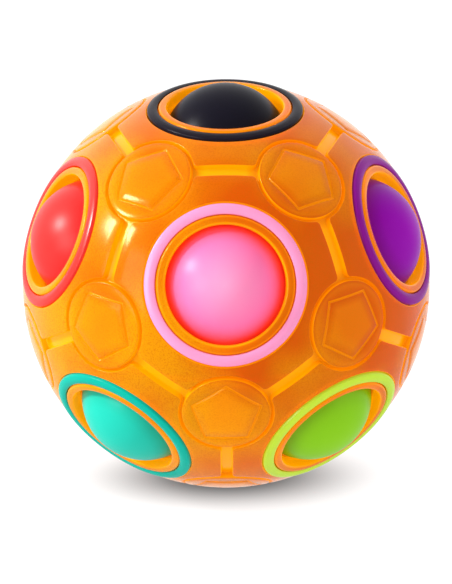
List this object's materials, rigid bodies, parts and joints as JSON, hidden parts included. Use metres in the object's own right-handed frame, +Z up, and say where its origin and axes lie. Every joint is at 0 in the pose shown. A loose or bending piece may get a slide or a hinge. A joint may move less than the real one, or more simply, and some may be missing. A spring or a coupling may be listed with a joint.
{
  "type": "ball puzzle",
  "caption": "Hollow sphere puzzle with coloured rings round its holes and coloured balls that press in and move from hole to hole behind the shell.",
  "frame": {"origin": "middle of the empty hole's lip, on the surface that the puzzle stands on", "axes": "+Z up through the black hole opposite the empty one; the pink ball faces -Y and a little up"},
  "size_m": [0.0698, 0.0702, 0.0699],
  "materials": {
    "shell": "see-through orange, polished outside, fine frost inside",
    "ring_black": "semi-gloss, solid colour",
    "ring_pink": "semi-gloss, solid colour",
    "ring_purple": "semi-gloss, solid colour",
    "ring_blue": "semi-gloss, solid colour",
    "ring_yellow": "semi-gloss, solid colour",
    "ring_red": "semi-gloss, solid colour",
    "ring_teal": "semi-gloss, solid colour",
    "ring_lime": "semi-gloss, solid colour",
    "ring_sky_blue": "semi-gloss, solid colour",
    "ring_orange": "semi-gloss, solid colour",
    "ring_white": "semi-gloss, solid colour",
    "ring_brown": "semi-gloss, solid colour",
    "ball_black": "gloss, solid colour",
    "ball_pink": "gloss, solid colour",
    "ball_purple": "gloss, solid colour",
    "ball_blue": "gloss, solid colour",
    "ball_yellow": "gloss, solid colour",
    "ball_red": "gloss, solid colour",
    "ball_teal": "gloss, solid colour",
    "ball_lime": "gloss, solid colour",
    "ball_sky_blue": "gloss, solid colour",
    "ball_orange": "gloss, solid colour",
    "ball_white": "gloss, solid colour",
    "core": "satin"
  },
  "bodies": {
    "shell": {"upper_shell": "shell", "lower_shell": "shell", "ring_black": "ring_black", "ring_pink": "ring_pink", "ring_purple": "ring_purple", "ring_blue": "ring_blue", "ring_yellow": "ring_yellow", "ring_red": "ring_red", "ring_teal": "ring_teal", "ring_lime": "ring_lime", "ring_sky_blue": "ring_sky_blue", "ring_orange": "ring_orange", "ring_white": "ring_white", "ring_brown": "ring_brown"},
    "ball_black": {"ball_black": "ball_black"},
    "ball_pink": {"ball_pink": "ball_pink"},
    "ball_purple": {"ball_purple": "ball_purple"},
    "ball_blue": {"ball_blue": "ball_blue"},
    "ball_yellow": {"ball_yellow": "ball_yellow"},
    "ball_red": {"ball_red": "ball_red"},
    "ball_teal": {"ball_teal": "ball_teal"},
    "ball_lime": {"ball_lime": "ball_lime"},
    "ball_sky_blue": {"ball_sky_blue": "ball_sky_blue"},
    "ball_orange": {"ball_orange": "ball_orange"},
    "ball_white": {"ball_white": "ball_white"},
    "core": {"core_upper_half": "core", "core_lower_half": "core"}
  },
  "joints": [
    {"name": "press_black", "type": "slide", "parent": "shell", "child": "ball_black", "axis": [0, 0, -1], "range_m": [0, 0.0046], "stiffness_N_per_m": 100, "springref_m": -0.002},
    {"name": "press_pink", "type": "slide", "parent": "shell", "child": "ball_pink", "axis": [0, 0.8944, -0.4472], "range_m": [0, 0.0046], "stiffness_N_per_m": 100, "springref_m": -0.002},
    {"name": "press_purple", "type": "slide", "parent": "shell", "child": "ball_purple", "axis": [-0.8507, 0.2764, -0.4472], "range_m": [0, 0.0046], "stiffness_N_per_m": 100, "springref_m": -0.002},
    {"name": "press_blue", "type": "slide", "parent": "shell", "child": "ball_blue", "axis": [-0.5257, -0.7236, -0.4472], "range_m": [0, 0.0046], "stiffness_N_per_m": 100, "springref_m": -0.002},
    {"name": "press_yellow", "type": "slide", "parent": "shell", "child": "ball_yellow", "axis": [0.5257, -0.7236, -0.4472], "range_m": [0, 0.0046], "stiffness_N_per_m": 100, "springref_m": -0.002},
    {"name": "press_red", "type": "slide", "parent": "shell", "child": "ball_red", "axis": [0.8507, 0.2764, -0.4472], "range_m": [0, 0.0046], "stiffness_N_per_m": 100, "springref_m": -0.002},
    {"name": "press_teal", "type": "slide", "parent": "shell", "child": "ball_teal", "axis": [0.5257, 0.7236, 0.4472], "range_m": [0, 0.0046], "stiffness_N_per_m": 100, "springref_m": -0.002},
    {"name": "press_lime", "type": "slide", "parent": "shell", "child": "ball_lime", "axis": [-0.5257, 0.7236, 0.4472], "range_m": [0, 0.0046], "stiffness_N_per_m": 100, "springref_m": -0.002},
    {"name": "press_sky_blue", "type": "slide", "parent": "shell", "child": "ball_sky_blue", "axis": [-0.8507, -0.2764, 0.4472], "range_m": [0, 0.0046], "stiffness_N_per_m": 100, "springref_m": -0.002},
    {"name": "press_white", "type": "slide", "parent": "shell", "child": "ball_white", "axis": [0.8507, -0.2764, 0.4472], "range_m": [0, 0.0046], "stiffness_N_per_m": 100, "springref_m": -0.002},
    {"name": "transfer_orange", "type": "hinge", "parent": "shell", "child": "ball_orange", "pos_m": [0, 0.02257, -0.00323], "axis": [1, 0, 0], "range_deg": [0, 66.56]},
    {"name": "core_spin", "type": "hinge", "parent": "shell", "child": "core", "pos_m": [0, 0, 0.0333], "axis": [0, 0, 1], "continuous": true}
  ]
}
